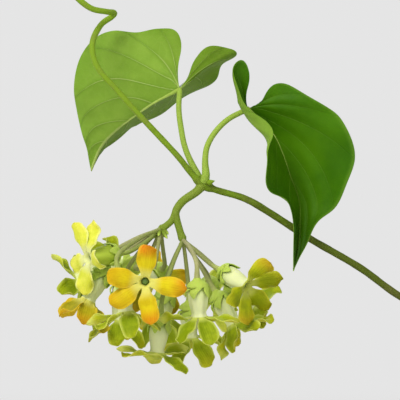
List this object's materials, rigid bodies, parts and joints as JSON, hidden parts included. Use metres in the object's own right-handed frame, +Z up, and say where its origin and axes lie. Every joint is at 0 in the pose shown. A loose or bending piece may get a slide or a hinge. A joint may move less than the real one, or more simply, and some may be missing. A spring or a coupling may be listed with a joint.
{
  "type": "potted tonkin jasmine",
  "caption": "young twining tonkin jasmine vine on a cane in a tapered clay pot, with heart-shaped leaves, a hanging umbel of yellow-green to orange flowers and a free twining tip",
  "frame": {"origin": "centre of the pot's flat base, on the surface it stands on", "axes": "+Z up along the pot and the cane; the flowering shoot reaches out to -X; a viewer at -Y, looking along +Y, sees it as pictured"},
  "size_m": [0.1939, 0.114, 0.2523],
  "materials": {
    "terracotta": "unglazed fired clay, matte",
    "potting_mix": "loose dark bark and peat mix, rough",
    "bamboo": "dried cane, satin",
    "stem_woody": "older green-brown stem, matte",
    "stem_green": "young green stem, finely hairy",
    "leaf_green": "thin soft leaf, satin",
    "stalk_green": "flower stalks and calyces, finely hairy",
    "petal_pale": "pale yellow-green petal, satin",
    "petal_amber": "yellow petal turning orange, satin",
    "petal_lime": "lime-green petal, satin"
  },
  "bodies": {
    "root": {"pot": "terracotta", "soil": "potting_mix", "cane": "bamboo", "vine_stem": "stem_woody", "vine_leaf_01": "leaf_green", "vine_leaf_02": "leaf_green", "vine_leaf_03": "leaf_green", "vine_leaf_04": "leaf_green", "vine_leaf_05": "leaf_green", "vine_leaf_06": "leaf_green", "vine_leaf_07": "leaf_green", "vine_leaf_08": "leaf_green", "vine_leaf_09": "leaf_green", "vine_leaf_10": "leaf_green", "flowering_shoot": "stem_green", "shoot_leaf_left": "leaf_green", "shoot_leaf_right": "leaf_green", "umbel_stalks": "stalk_green", "flower_01": "petal_pale", "flower_02": "petal_amber", "flower_03": "petal_amber", "flower_04": "petal_lime", "flower_05": "petal_lime", "flower_06": "petal_lime", "flower_07": "petal_lime", "flower_08": "petal_amber", "flower_09": "petal_lime", "flower_10": "petal_lime", "flower_11": "petal_lime", "flower_12": "petal_lime", "flower_13": "petal_lime", "flower_14": "petal_lime", "flower_15": "petal_pale", "flower_16": "petal_amber"}
  },
  "joints": []
}
